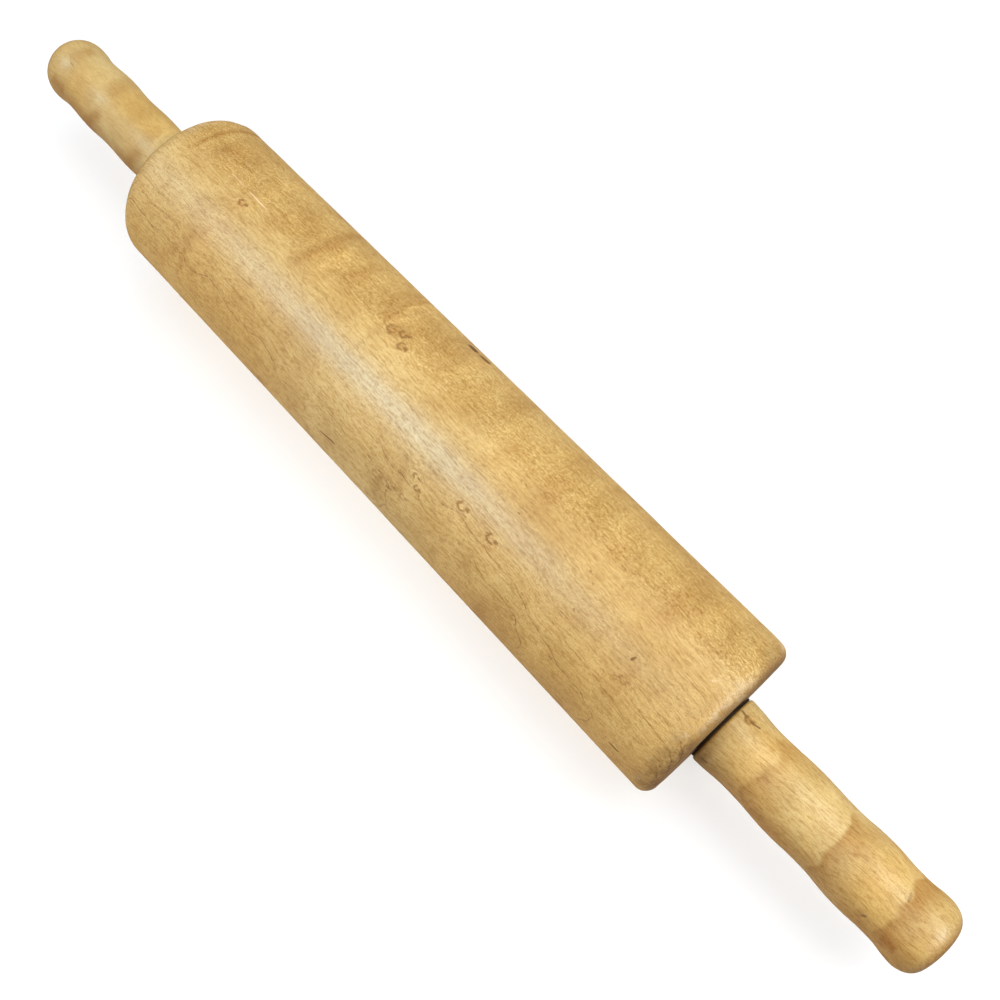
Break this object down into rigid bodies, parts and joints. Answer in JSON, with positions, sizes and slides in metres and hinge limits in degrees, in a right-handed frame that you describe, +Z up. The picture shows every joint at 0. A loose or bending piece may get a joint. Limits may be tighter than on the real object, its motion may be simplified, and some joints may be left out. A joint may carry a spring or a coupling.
{
  "type": "rolling pin",
  "caption": "Wooden rolling pin with a straight barrel that spins in ball bearings on a steel rod, and a waved handle at each end.",
  "frame": {"origin": "middle of the barrel, on the rod's axis", "axes": "+X along the rod towards the right handle, +Z up, with the pin lying level"},
  "size_m": [0.495, 0.07, 0.07],
  "materials": {
    "barrel_wood": "old oiled hard maple, worn satin",
    "handle_wood": "old oiled hard maple, hand polished",
    "rod_steel": "cold drawn",
    "housing_steel": "zinc plated, dulled",
    "bearing_steel": "ground",
    "ball_steel": "polished",
    "cage_brass": "machined",
    "shield_steel": "pressed sheet",
    "washer_steel": "zinc plated, dulled"
  },
  "bodies": {
    "barrel": {"barrel": "barrel_wood", "left_housing": "housing_steel", "right_housing": "housing_steel", "left_outer_race": "bearing_steel", "right_outer_race": "bearing_steel", "left_outer_shield": "shield_steel", "right_outer_shield": "shield_steel", "left_inner_shield": "shield_steel", "right_inner_shield": "shield_steel"},
    "grips": {"axle_rod": "rod_steel", "left_handle": "handle_wood", "right_handle": "handle_wood", "left_inner_race": "bearing_steel", "right_inner_race": "bearing_steel", "left_washer": "washer_steel", "right_washer": "washer_steel"},
    "left_ball_set": {"left_balls": "ball_steel", "left_cage": "cage_brass"},
    "right_ball_set": {"right_balls": "ball_steel", "right_cage": "cage_brass"}
  },
  "joints": [
    {"name": "grip_spin", "type": "hinge", "parent": "barrel", "child": "grips", "pos_m": [0, 0, 0], "axis": [1, 0, 0], "continuous": true},
    {"name": "left_ball_roll", "type": "hinge", "parent": "barrel", "child": "left_ball_set", "pos_m": [-0.14843, 0, 0], "axis": [1, 0, 0], "continuous": true},
    {"name": "right_ball_roll", "type": "hinge", "parent": "barrel", "child": "right_ball_set", "pos_m": [0.14843, 0, 0], "axis": [1, 0, 0], "continuous": true}
  ],
  "couplings": [
    {"joint": "left_ball_roll", "follows": "grip_spin", "ratio": 0.375},
    {"joint": "right_ball_roll", "follows": "grip_spin", "ratio": 0.375}
  ]
}
